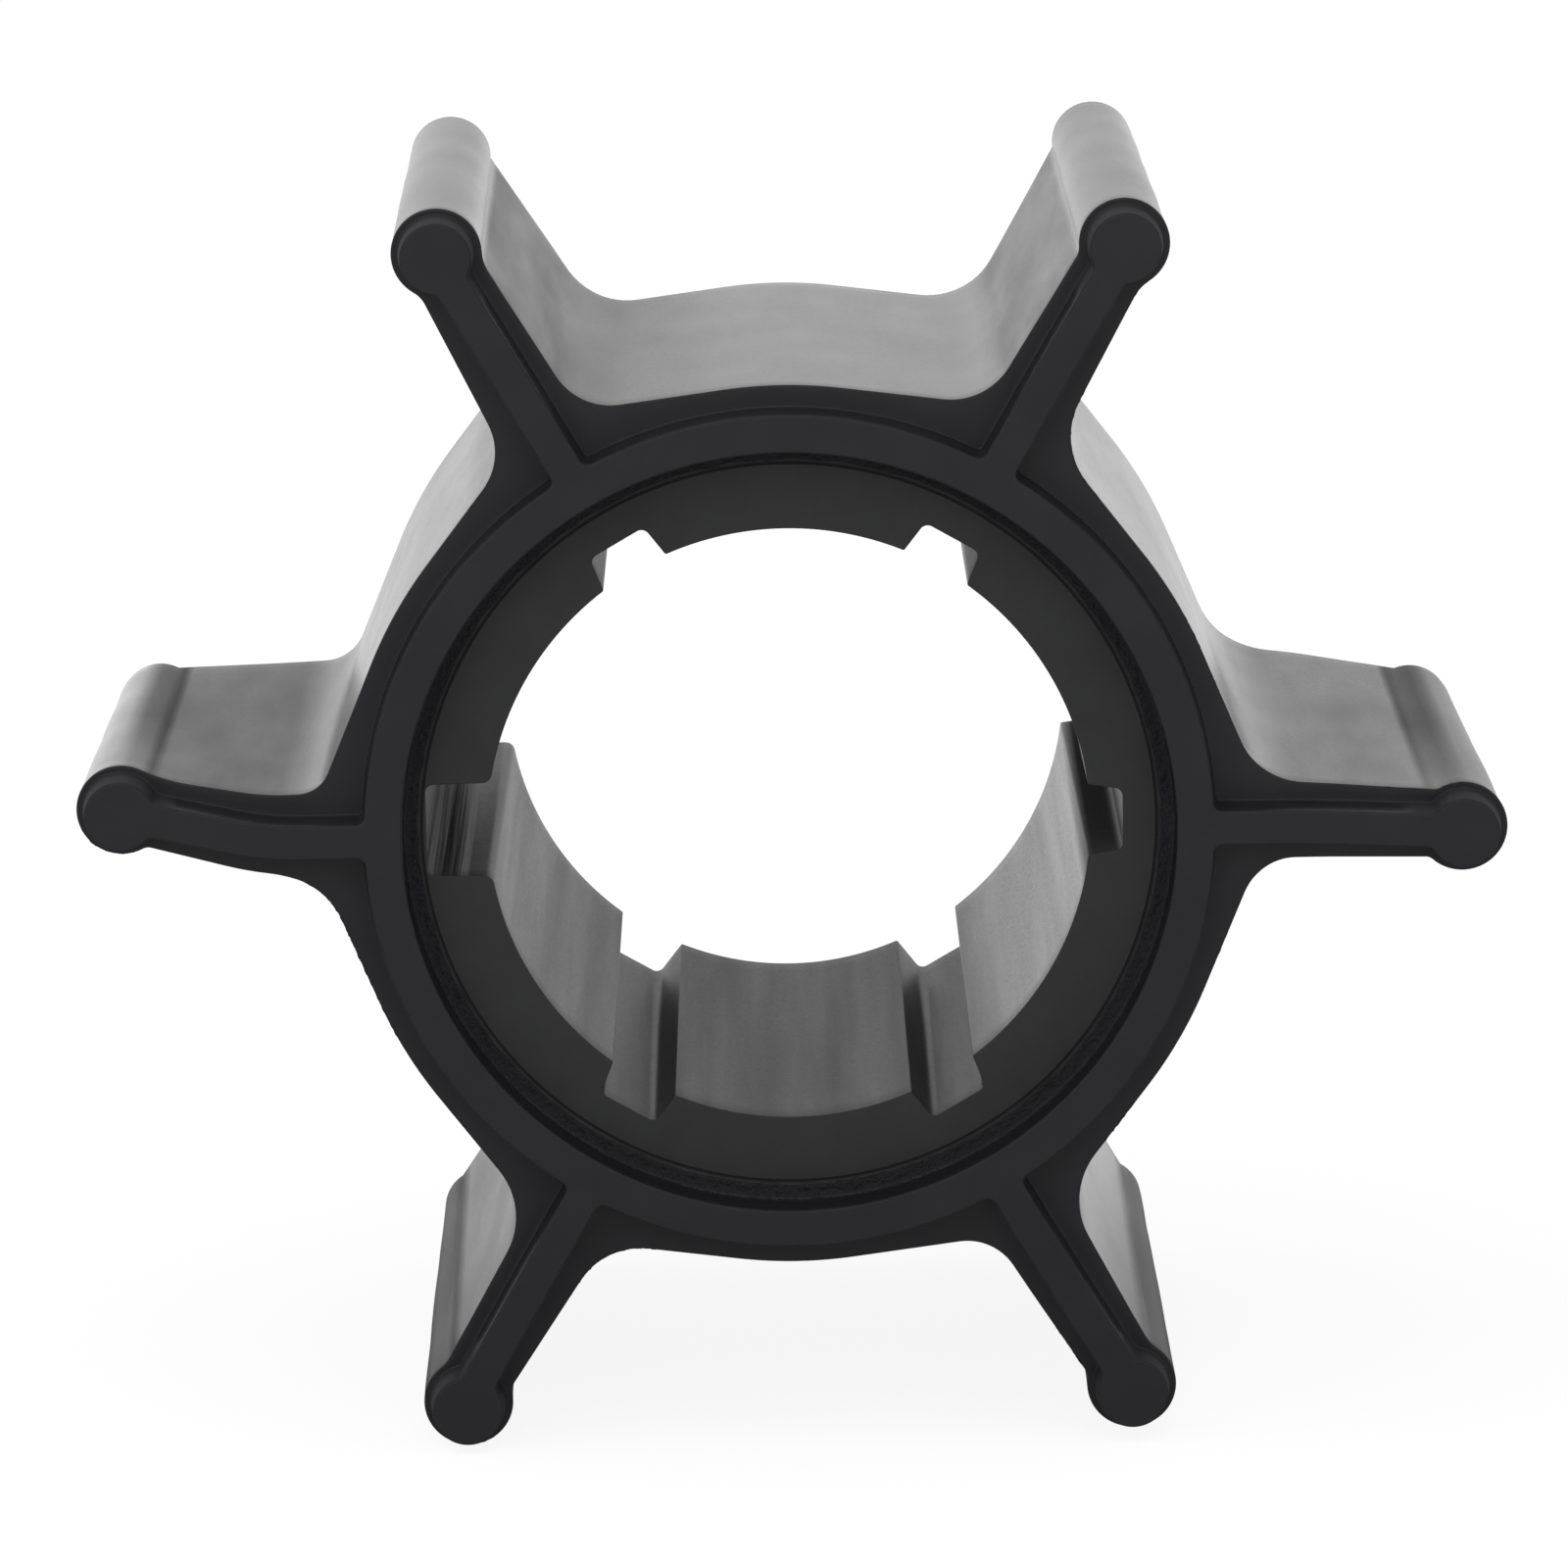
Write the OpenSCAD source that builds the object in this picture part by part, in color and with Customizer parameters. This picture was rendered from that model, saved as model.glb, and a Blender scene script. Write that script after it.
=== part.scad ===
// Six-vane flexible pump impeller: a rubber moulding bonded round a hard hub insert.
// The bore's axis lies along Y with the front end towards -Y, and the part stands on two vanes.
// The origin is at the middle of the bore. All lengths are in millimetres.

/* [Overall] */
// Length along the bore, over the raised ends of the rubber
length = 26; // [20:0.5:34]
// Number of vanes, each in line with a slot in the bore
vane_count = 6; // [5:1:7]

/* [Rubber hub] */
// Wall of the rubber hub, outside the insert
rubber_wall = 1.7; // [1.3:0.05:2.6]
// Angle from a vane's middle at which the hub's round runs off into the flat beside the vane
root_flat_angle = 22.5; // [19:0.5:25]
// Width of the raised sealing ring on each end
ring_w = 1.3; // [0.9:0.05:1.5]
// How far the ring laps over the rim of the insert's face
ring_lap = 0.45; // [0.2:0.05:0.7]
// Height of the ring, ribs and bead ends above the shoulders round them
raise = 1.25; // [0.6:0.05:2]
// Depth of the insert's faces below the raised ring
insert_recess = 1.75; // [1.3:0.05:2.5]

/* [Vanes] */
// Reach of a vane from the hub's round to the centre of its tip bead
vane_reach = 7.9; // [6:0.1:10]
// Blade thickness where the vane begins to lean
root_thickness = 2.75; // [2.2:0.05:3.2]
// Blade thickness at the tip bead
tip_thickness = 2.4; // [1.9:0.05:2.55]
// Radius of the blend between a blade and the flat beside it
root_fillet_r = 2.2; // [1.2:0.1:3]
// Radius of the tip bead at the front end
bead_front_r = 1.57; // [1.4:0.01:1.9]
// Radius of the tip bead at the back end, smaller by the mould's draft
bead_back_r = 1.33; // [1.28:0.01:1.6]
// Width of the shoulder round the raised end of a bead
bead_shoulder = 0.33; // [0.15:0.01:0.5]
// Width of the raised rib along the end of each vane
rib_w = 1.25; // [0.8:0.05:1.6]
// Distance from the hub's round to where a vane begins to lean
lean_start = 2.2; // [1.2:0.1:3]
// Lean of each vane in degrees, counter-clockwise from the front, starting at +X
vane_leans = [-2.7, -1.2, 1.2, -12.5, 1.9, 2.3];

/* [Insert] */
// Radius of the bore
bore_r = 10.45; // [9.8:0.05:11]
// Wall of the insert between its bore and the rubber
insert_wall = 3.45; // [3.1:0.05:4]
// Width of a shallow slot where it opens into the bore
slot_w = 2.45; // [1.8:0.05:3]
// Depth of a shallow slot below the bore
slot_depth = 1.18; // [0.8:0.02:1.6]
// Slope of a shallow slot's walls in degrees
slot_draft = 8; // [0:1:14]
// Width of the keyway where it opens into the bore
keyway_w = 3.3; // [2.6:0.05:4]
// Depth of the keyway below the bore
keyway_depth = 2.2; // [1.6:0.05:2.4]
// Slope of the keyway's walls in degrees
keyway_draft = 1; // [0:1:6]
// Radius in the corners of a slot's floor
slot_corner_r = 0.3; // [0.1:0.02:0.5]
// Radius of the lips where the keyway opens into the bore
keyway_lip_r = 0.3; // [0.1:0.02:0.5]

/* [Hidden] */
$fn = 128;
rubber_colour = [0.15, 0.16, 0.17];
insert_colour = [0.2, 0.2, 0.21];

// How far a cutter runs past the face it cuts
overrun = 1;
// Number of straight steps in a slot's small round corners
arc_steps = 6;
body_length = length - 2 * raise;
insert_length = length - 2 * insert_recess;
seat_r = bore_r + insert_wall;
hub_r = seat_r + rubber_wall;
ring_bore_r = seat_r - ring_lap;
ring_r = ring_bore_r + ring_w;
tip_circle_r = hub_r + vane_reach;
lean_r = hub_r + lean_start;
vane_pitch = 360 / vane_count;
blade_reach = tip_circle_r - lean_r;
blade_taper = atan((root_thickness - tip_thickness) / 2 / blade_reach);
keyway_index = floor(vane_count / 2);

function along(a) = [cos(a), sin(a)];
function across(a) = [-sin(a), cos(a)];
function flip(p) = [p[0], -p[1]];
function flipped(points) = [for (i = [len(points) - 1:-1:0]) flip(points[i])];
function lean_of(i) = i < len(vane_leans) ? vane_leans[i] : 0;

// Where the line through p at angle a meets the line through q at angle b
function meeting(p, a, q, b) = p + along(a) * cross(q - p, along(b)) / cross(along(a), along(b));

// Centre of a circle of radius r that touches a round of radius big_r about the origin from
// outside, and also touches the line through p at angle a, on the line's left side
function blend_centre(big_r, r, p, a) =
    let (b = p + r * across(a), run = b * along(a), reach = big_r + r)
    b + along(a) * (sqrt(run * run - b * b + reach * reach) - run);
function touch_on_line(c, r, a) = c - r * across(a);

// A vane's left flank, from the bead in to the hub: its line's angle, a point on it, and the
// centre of the root blend, which touches the flank and the flat that leaves the hub's round
// as a tangent. The right flank is the left one of the opposite lean, flipped
function flank_angle(lean) = lean - blade_taper;
function flank_point(lean) = [lean_r, 0] + across(lean) * root_thickness / 2;
function root_centre(lean) =
    let (p = flank_point(lean) + across(flank_angle(lean)) * root_fillet_r)
    meeting(p, flank_angle(lean), along(root_flat_angle) * (hub_r + root_fillet_r), root_flat_angle - 90);
function bead_centre(lean) = [lean_r, 0] + along(lean) * blade_reach;
function flank_points(lean) =
    let (c = root_centre(lean))
    [
        bead_centre(lean) + across(lean) * tip_thickness / 2,
        touch_on_line(c, root_fillet_r, flank_angle(lean)),
        c - root_fillet_r * along(root_flat_angle),
        hub_r * along(root_flat_angle)
    ];

// Left edge of the raised rib, from the bead in to the ring, mitred where the vane leans
function rib_points(lean) =
    [
        bead_centre(lean) + across(lean) * rib_w / 2,
        [lean_r, 0] + across(lean / 2) * rib_w / 2 / cos(lean / 2),
        [ring_bore_r, rib_w / 2]
    ];

module stand() {
    rotate([90, 0, 0]) children();
}

module each_vane() {
    for (i = [0:vane_count - 1]) {
        $lean = lean_of(i);
        rotate(i * vane_pitch) children();
    }
}

module vane_outline(lean) {
    difference() {
        polygon(concat([[0, 0]], flipped(flank_points(-lean)), flank_points(lean)));
        translate(root_centre(lean)) circle(r = root_fillet_r);
        translate(flip(root_centre(-lean))) circle(r = root_fillet_r);
    }
}

module body_outline() {
    circle(r = hub_r);
    each_vane() vane_outline($lean);
}

module raised_outline() {
    circle(r = ring_r);
    each_vane() polygon(concat(flipped(rib_points(-$lean)), rib_points($lean)));
}

// The tip bead and its raised ends are cones, because the mould's draft narrows them to the back
module bead() {
    cylinder(h = body_length, r1 = bead_back_r, r2 = bead_front_r, center = true);
    cylinder(h = length, r1 = bead_back_r - bead_shoulder, r2 = bead_front_r - bead_shoulder, center = true);
}

module rubber_impeller() {
    color(rubber_colour) stand() difference() {
        union() {
            linear_extrude(height = body_length, center = true) body_outline();
            linear_extrude(height = length, center = true) raised_outline();
            each_vane() translate(bead_centre($lean)) bead();
        }
        cylinder(h = length + 2 * overrun, r = ring_bore_r, center = true);
        cylinder(h = insert_length, r = seat_r, center = true);
    }
}

// Points on an arc about c, both ends kept
function arc_points(c, r, from, to) =
    [for (k = [0:arc_steps]) c + r * along(from + (to - from) * k / arc_steps)];

// The left side of a slot along +X, walked from its floor to a point in the open bore: the round
// corner of the floor, and the mouth with or without a rounded lip
function slot_mouth(width) = [sqrt(bore_r * bore_r - width * width / 4), width / 2];
function floor_corner(width, depth, draft) =
    let (
        floor_x = bore_r + depth,
        mouth = slot_mouth(width),
        floor_y = mouth[1] - (floor_x - mouth[0]) * tan(draft),
        c = [floor_x - slot_corner_r, floor_y - slot_corner_r * tan(45 - draft / 2)]
    )
    arc_points(c, slot_corner_r, 0, 90 - draft);
function plain_lip(width, draft) = [slot_mouth(width) - overrun * along(-draft)];
function rounded_lip(width, draft, r) =
    let (
        c = blend_centre(bore_r, r, slot_mouth(width), -draft),
        turn = atan2(c[1], c[0]),
        run = arc_points(c, r, -90 - draft, turn - 180)
    )
    [for (k = [0:arc_steps]) k < arc_steps ? run[k] : (bore_r - overrun) * along(turn)];

module slot(side) {
    polygon(concat([[0, 0]], flipped(side), side));
}

module slots_outline() {
    for (i = [0:vane_count - 1]) rotate(i * vane_pitch) {
        if (i == keyway_index) {
            slot(concat(
                floor_corner(keyway_w, keyway_depth, keyway_draft),
                rounded_lip(keyway_w, keyway_draft, keyway_lip_r)
            ));
        } else {
            slot(concat(floor_corner(slot_w, slot_depth, slot_draft), plain_lip(slot_w, slot_draft)));
        }
    }
}

module hub_insert() {
    color(insert_colour) stand() difference() {
        cylinder(h = insert_length, r = seat_r, center = true);
        cylinder(h = insert_length + 2 * overrun, r = bore_r, center = true);
        linear_extrude(height = insert_length + 2 * overrun, center = true) slots_outline();
    }
}

rubber_impeller();
hub_insert();
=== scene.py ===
"""Dresses a six-vane rubber pump impeller and sets it on a pale floor.

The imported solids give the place, the length and the insert's radius. The moulding and the insert are made
again here with the soft edges, drafted ribs, flash and finish that the real ones have.
"""

import math
from functools import reduce
from typing import NamedTuple

import bmesh
import bpy
import numpy as np
from mathutils import Matrix, Vector, geometry, noise


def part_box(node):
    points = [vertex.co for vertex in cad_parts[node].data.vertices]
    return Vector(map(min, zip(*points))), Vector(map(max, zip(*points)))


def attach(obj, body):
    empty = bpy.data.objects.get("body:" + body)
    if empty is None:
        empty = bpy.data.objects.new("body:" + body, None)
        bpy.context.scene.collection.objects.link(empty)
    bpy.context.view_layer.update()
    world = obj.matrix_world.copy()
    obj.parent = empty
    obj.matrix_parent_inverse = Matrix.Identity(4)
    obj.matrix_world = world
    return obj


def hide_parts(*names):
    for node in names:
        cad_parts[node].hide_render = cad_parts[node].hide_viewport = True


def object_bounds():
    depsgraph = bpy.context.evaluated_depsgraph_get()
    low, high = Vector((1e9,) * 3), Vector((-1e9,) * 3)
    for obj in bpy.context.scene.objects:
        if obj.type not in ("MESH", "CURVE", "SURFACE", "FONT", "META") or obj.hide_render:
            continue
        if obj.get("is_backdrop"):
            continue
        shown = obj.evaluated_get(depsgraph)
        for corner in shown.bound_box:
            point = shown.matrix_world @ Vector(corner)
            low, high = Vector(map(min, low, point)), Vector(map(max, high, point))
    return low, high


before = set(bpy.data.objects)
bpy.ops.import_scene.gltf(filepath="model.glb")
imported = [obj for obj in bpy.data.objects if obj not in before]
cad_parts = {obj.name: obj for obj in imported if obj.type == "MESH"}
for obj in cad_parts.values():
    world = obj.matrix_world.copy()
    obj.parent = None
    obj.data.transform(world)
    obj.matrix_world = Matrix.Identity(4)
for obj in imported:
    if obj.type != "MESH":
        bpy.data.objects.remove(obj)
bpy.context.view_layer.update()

bl_info = {
    "name": "Rubber Pump Impeller",
    "version": (1, 0, 0),
    "blender": (4, 5, 0),
    "location": "3D View > Sidebar > Impeller",
    "description": "Builds the rubber moulding, the hub insert and their finish",
    "category": "Object",
}

MM = 0.001
RUBBER_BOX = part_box("rubber_impeller")
INSERT_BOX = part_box("hub_insert")
FRONT = RUBBER_BOX[0].y
BACK = RUBBER_BOX[1].y
INSERT_FRONT = INSERT_BOX[0].y
INSERT_BACK = INSERT_BOX[1].y
SEAT_RADIUS = INSERT_BOX[1].x


class Vane(NamedTuple):
    """One vane's own shape, in millimetres and degrees.

    The pairs root, fillet and neck are for its two sides, the counter-clockwise one first.
    """

    # Lean at the front end, and how much further it leans at the back
    lean: float
    twist: float
    # Distance from the axis to the bead's centre, at the front end and at the back
    reach: tuple
    # How far the bead sits off the blade's middle
    bead_off: float
    # Half the blade's thickness at the root
    root: tuple
    # Radius of the fillet at the hub
    fillet: tuple
    # Radius of the neck at the bead, and the share of the length over which it tightens to a crease
    neck: tuple
    soft: float
    # Length of the bend that makes the lean, and the distance from the axis to its middle
    bend: float = 2.9
    pivot: float = 17.8


# The vanes, counter-clockwise from +X as seen from the front
VANES = (
    Vane(-2.7, -5.4, reach=(23.45, 23.3), bead_off=-0.07,
         root=(1.35, 1.35), fillet=(2.4, 2.0), neck=(0.45, 0.35), soft=0.2),
    Vane(-0.7, 2.8, reach=(23.55, 23.55), bead_off=0.0,
         root=(1.3, 1.45), fillet=(2.3, 2.7), neck=(0.7, 1.6), soft=0.2),
    Vane(0.35, 1.85, reach=(23.55, 23.6), bead_off=0.0,
         root=(1.6, 1.3), fillet=(2.2, 2.2), neck=(1.0, 1.6), soft=0.15),
    Vane(-12.7, 11.6, reach=(23.3, 23.25), bead_off=0.1,
         root=(1.4, 1.45), fillet=(2.7, 1.2), neck=(0.4, 6.0), soft=0.6, bend=2.2, pivot=18.2),
    Vane(0.35, -5.4, reach=(23.6, 22.85), bead_off=0.17,
         root=(1.55, 1.25), fillet=(2.5, 2.7), neck=(0.5, 1.6), soft=0.4),
    Vane(1.35, 2.35, reach=(23.45, 22.85), bead_off=-0.09,
         root=(1.5, 1.35), fillet=(2.8, 1.9), neck=(1.6, 0.4), soft=0.3),
)
KEYWAY_INDEX = 3
PITCH = math.tau / len(VANES)
# Angle from a vane's middle at which the hub's round runs off into the flat beside the vane
ROOT_FLAT = math.radians(22.6)

# Points on each stretch of the moulding's outline
BEAD_STEPS = 20
NECK_STEPS = 8
BLADE_STEPS = 12
FILLET_STEPS = 12
FLAT_STEPS = 10
HUB_STEPS = 20
# Points on each stretch of the bore's outline
FLOOR_STEPS = 4
CORNER_STEPS = 7
WALL_STEPS = 5
LAND_STEPS = 30
# Points on a full circle, on the film's finer one and round the burr's section
CIRCLE_POINTS = 240
FILM_POINTS = 1440
BURR_SIDES = 8
# Loops over a rounded edge, over a smaller one and up the drafted side of the raised parts
EDGE_LOOPS = 6
SMALL_EDGE_LOOPS = 5
DRAFT_LOOPS = 3
# Loops along the moulding's side and along the bore, both ends counted
SIDE_LOOPS = 26
BORE_LOOPS = 20
# Where loops cross the shoulder, as shares of its width from the raised parts
SHOULDER_SHARES = (0.35, 0.7)
# Faces that meet at a sharper angle than this keep a sharp edge
SHARP_ANGLE = math.radians(40)

# The groove's section: place across it, from -1 to 1, and share of its depth
GROOVE_SECTION = ((-1, 0.0), (-0.8, 0.25), (-0.4, 0.9), (0, 1.0), (0.4, 0.9), (0.8, 0.25), (1, 0.0))
# The film's section: share of its width from the inner edge to the ring, and height in thicknesses
FILM_SECTION = (
    (0.0, 0.0), (0.02, 0.6), (0.1, 1.0), (0.3, 1.0), (0.5, 1.2), (0.7, 1.8), (0.85, 3.2), (0.95, 5.5), (1.0, 8.0),
)


def length(name, description, millimetres):
    """A Blender property that holds a length."""
    return bpy.props.FloatProperty(
        name=name, description=description, default=millimetres * MM, min=0.0, unit="LENGTH", precision=5
    )


def slope(name, description, degrees):
    """A Blender property that holds an angle."""
    return bpy.props.FloatProperty(
        name=name, description=description, default=math.radians(degrees), unit="ROTATION", subtype="ANGLE"
    )


def dullness(name, description, value):
    """A Blender property that holds a roughness, from 0 for a mirror to 1 for chalk."""
    return bpy.props.FloatProperty(
        name=name, description=description, default=value, min=0.0, max=1.0, subtype="FACTOR"
    )


def colour(name, description, values):
    """A Blender property that holds a colour."""
    return bpy.props.FloatVectorProperty(
        name=name, description=description, default=values, size=3, min=0.0, max=1.0, subtype="COLOR", precision=4
    )


class RubberSizes(bpy.types.PropertyGroup):
    """Sizes of the rubber moulding."""

    hub: length("Hub radius", "Outer radius of the rubber hub at the front end", 15.62)
    hub_draft: length("Hub draft", "How much smaller the hub is at the back end", 0.2)
    root_start: length("Root radius", "Distance from the axis at which a blade has its root's thickness", 17.5)
    fillet_growth: length("Fillet growth", "How much larger the root fillets are at the back end", 0.4)
    tip_half: length("Half thickness at the bead", "Half the blade's thickness at the bead", 1.17)
    bead_front: length("Bead radius in front", "Radius of a bead at the front end", 1.57)
    bead_back: length("Bead radius behind", "Radius of a bead at the back end", 1.46)
    crease: length("Crease", "Radius of the crease between blade and bead, away from the front end", 0.1)
    body_edge: length("Body edge", "Radius of the outer edge on both ends", 0.06)
    raise_height: length("Raise", "Height of the ring and ribs above the shoulders", 1.25)
    ring: length("Ring radius", "Outer radius of the raised ring at its top", 14.75)
    ring_bore: length("Ring bore", "Inner radius of the raised ring", 13.45)
    rib_half: length("Half rib width", "Half the width of a rib at its top", 0.6)
    disc_inset: length("Disc inset", "How much smaller a bead's raised disc is than the bead", 0.33)
    draft: length("Draft", "How much wider the raised parts are at their foot", 0.1)
    raised_edge: length("Raised edge", "Radius of the edges of the raised parts", 0.08)
    foot_fillet: length("Foot fillet", "Radius at the foot of the raised parts", 0.06)
    corner: length("Rib corner", "Radius of the corners between ribs, ring and discs", 0.3)
    wobble: length("Wobble", "Depth of the slow unevenness of the moulded walls", 0.03)
    wobble_size: length("Wobble size", "Distance over which the unevenness changes", 4.0)
    burr: length("Burr", "Greatest radius of the burr along the front outer edge", 0.03)
    burr_inset: length("Burr inset", "How far the burr's middle lies inside the edge", 0.02)
    burr_step: length("Burr step", "Distance between the burr's points along the edge", 0.05)


class InsertSizes(bpy.types.PropertyGroup):
    """Sizes of the hub insert and of the film of rubber on its face."""

    bore_front: length("Bore radius in front", "Radius of the bore at its front end", 10.5)
    bore_back: length("Bore radius behind", "Radius of the bore at its back end", 10.3)
    slot_half: length("Half slot width", "Half the width of a shallow slot at its mouth", 1.25)
    slot_floor: length("Slot floor radius", "Distance from the axis to a shallow slot's floor", 11.63)
    slot_draft: slope("Slot draft", "Slope of a shallow slot's walls", 8)
    slot_lip: length("Slot lip", "Radius of a shallow slot's lips", 0.08)
    slot_corner: length("Slot corner", "Radius in the corners of a slot's floor", 0.3)
    keyway_half: length("Half keyway width", "Half the width of the keyway at its mouth", 1.66)
    keyway_floor: length("Keyway floor radius", "Distance from the axis to the keyway's floor", 12.65)
    keyway_draft: slope("Keyway draft", "Slope of the keyway's walls", 1)
    keyway_lip: length("Keyway lip", "Radius of the keyway's lips", 0.35)
    edge: length("Edge", "Radius of the edges at both ends of the bore", 0.04)
    film_inner: length("Film radius", "Inner radius of the film of rubber on the insert's face", 12.93)
    film_thickness: length("Film thickness", "Thickness of the film of rubber", 0.06)
    film_ragged: length("Film raggedness", "How far the film's inner edge wanders", 0.045)
    groove: length("Groove radius", "Radius of the fine groove in the insert's front face, at the film's edge", 12.9)
    groove_half: length("Half groove width", "Half the width of the groove", 0.14)
    groove_depth: length("Groove depth", "Depth of the groove", 0.09)


class Finishes(bpy.types.PropertyGroup):
    """Colours and roughness of the finishes and the stage."""

    rubber: colour("Rubber", "Base colour of the rubber", (0.008, 0.0083, 0.0115))
    rubber_patches: colour("Rubber patches", "Colour of the rubber's paler patches", (0.0105, 0.0107, 0.014))
    rubber_wall: dullness("Rubber walls", "Roughness of the moulding's side walls", 0.2)
    rubber_end: dullness("Rubber ends", "Roughness of the moulding's end faces", 0.5)
    rubber_edge: dullness("Rubber edges", "Roughness of the rounded edges of the raised parts", 0.85)
    rubber_film: dullness("Rubber film", "Roughness of the film inside the ring", 0.9)
    plastic: colour("Plastic", "Base colour of the insert", (0.027, 0.0275, 0.029))
    plastic_patches: colour("Plastic patches", "Colour of the insert's darker patches", (0.024, 0.0243, 0.025))
    floor: colour("Floor", "Colour of the floor", (0.85, 0.85, 0.85))
    floor_shown: colour("Floor as seen", "Colour of the floor's own light and shade as seen", (0.12, 0.12, 0.12))


def direction(angle):
    """Unit vector at an angle from +X, counter-clockwise from the front."""
    return np.array((math.cos(angle), math.sin(angle)))


def angle_of(vector):
    """Angle of a vector from +X."""
    return math.atan2(vector[1], vector[0])


def arc(centre, radius, start, end, count):
    """Points on an arc, with its start left out and its end kept."""
    return [centre + radius * direction(angle) for angle in np.linspace(start, end, count + 1)[1:]]


def line(start, end, count):
    """Points on a straight run, with its start left out and its end kept."""
    return [start + (end - start) * k / count for k in range(1, count + 1)]


def mirrored(points):
    """The same run of points on the other side of the +X line, walked the other way."""
    return [np.array((p[0], -p[1])) for p in reversed(points)]


def turned(points, angle):
    """Points turned counter-clockwise about the axis."""
    along = direction(angle)
    return np.asarray(points) @ np.array(((along[0], along[1]), (-along[1], along[0])))


def blend_centre(middle, radius, blend, point, angle, way):
    """Centre of a circle that touches a round from outside and, on its left, a line through point.

    way is 1 for the centre further along the line and -1 for the nearer one.
    """
    along = direction(angle)
    base = point + blend * np.array((-along[1], along[0])) - middle
    run = base @ along
    reach = radius + blend
    return middle + base + along * (way * math.sqrt(run * run - base @ base + reach * reach) - run)


def meeting(point, angle, other, other_angle):
    """Where the line through point at an angle meets the line through other at its own angle."""
    along, across = direction(angle), direction(other_angle + math.pi / 2)
    return point + along * ((other - point) @ across) / (along @ across)


def joined(runs, radius, count):
    """One closed outline of runs that stand round the axis, with an arc about it after each."""
    loop = []
    for index, run in enumerate(runs):
        loop += list(run)
        start, end = angle_of(run[-1]), angle_of(runs[(index + 1) % len(runs)][0])
        end += math.tau if end < start else 0.0
        loop += arc(np.zeros(2), radius, start, end, count)[:-1]
    return np.array(loop)


def vane_side(shape, vane, side):
    """Left edge of a straight vane along +X, from its tip in to where it meets the hub's round.

    side is 0 for the vane's counter-clockwise side and 1 for the other, which is turned over for it.
    """
    half, fillet, neck = shape["root"](vane, side), shape["fillet"](vane, side), shape["neck"](vane, side)
    reach, hub = shape["reach"](vane), shape["hub"]
    bead = np.array((reach, vane.bead_off * MM * (1 - 2 * side)))
    taper = math.atan2(half - shape["tip_half"], reach - shape["start"])
    start = np.array((shape["start"], half))
    near_bead = blend_centre(bead, shape["bead"], neck, start, -taper, -1)
    up, down = math.pi / 2 - taper, -taper - math.pi / 2
    points = arc(bead, shape["bead"], 0.0, angle_of(near_bead - bead), BEAD_STEPS)
    points += arc(near_bead, neck, angle_of(bead - near_bead), down, NECK_STEPS)
    if shape["flat"]:
        touch = hub * direction(ROOT_FLAT)
        flat_line = touch + fillet * direction(ROOT_FLAT)
        root = meeting(start + fillet * direction(up), -taper, flat_line, ROOT_FLAT - math.pi / 2)
        points += line(points[-1], root + fillet * direction(down), BLADE_STEPS)
        points += arc(root, fillet, down, ROOT_FLAT - math.pi, FILLET_STEPS)
        return points + line(points[-1], touch, FLAT_STEPS)
    root = blend_centre(np.zeros(2), hub, fillet, start, -taper, 1)
    points += line(points[-1], root + fillet * direction(down), BLADE_STEPS)
    points += arc(root, fillet, down, angle_of(-root), FILLET_STEPS)
    return points + arc(np.zeros(2), hub, angle_of(root), ROOT_FLAT, FLAT_STEPS)


def leaned(points, lean, bend, pivot):
    """Points of a straight vane along +X, with the vane bent sideways on an arc about a radius."""
    if lean == 0.0:
        return np.asarray(points)
    bend_radius = bend / lean
    start = pivot - bend / 2
    bent = []
    for reach, side in points:
        turn = min(max(reach - start, 0.0), bend) / bend * lean
        past = max(reach - start - bend, 0.0)
        middle = np.array((min(reach, start), 0.0)) + past * direction(turn)
        middle += bend_radius * np.array((math.sin(turn), 1 - math.cos(turn)))
        bent.append(middle + side * np.array((-math.sin(turn), math.cos(turn))))
    return np.array(bent)


def star(shape):
    """Closed outline of the hub's round with its vanes, counter-clockwise from the front."""
    runs = []
    for index, vane in enumerate(VANES):
        tip = np.array((shape["reach"](vane) + shape["bead"], vane.bead_off * MM))
        points = mirrored(vane_side(shape, vane, 1)) + [tip] + vane_side(shape, vane, 0)
        lean = math.radians(vane.lean + vane.twist * shape["share"])
        runs.append(turned(leaned(points, lean, vane.bend * MM, vane.pivot * MM), index * PITCH))
    return joined(runs, shape["hub"], HUB_STEPS)


def circle(radius, count=CIRCLE_POINTS):
    """Closed circle about the axis."""
    return np.array([radius * direction(math.tau * k / count) for k in range(count)])


def outwards(loop):
    """Unit vectors that point out of a closed outline at each of its points."""
    tangent = np.roll(loop, -1, 0) - np.roll(loop, 1, 0)
    tangent /= np.linalg.norm(tangent, axis=1)[:, None]
    return np.stack((tangent[:, 1], -tangent[:, 0]), 1)


def offset(loop, distance):
    """A closed outline moved outwards along its own normals."""
    return loop + distance * outwards(loop)


def placed(loop, depth):
    """Points of an outline seen from the front, set at a depth along the bore."""
    return np.stack((loop[:, 0], np.full(len(loop), depth), loop[:, 1]), 1)


def quarter(count):
    """Pairs that walk a quarter round, from (1, 0) to (0, 1)."""
    return [(math.cos(a), math.sin(a)) for a in np.linspace(0, math.pi / 2, count)]


def noise_at(spots, scale, shift=0.0):
    """Noise read at each of some spots, scaled and shifted out of their plane."""
    return np.array([noise.noise(spot * scale + Vector((0.0, 0.0, shift))) for spot in spots])


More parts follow.
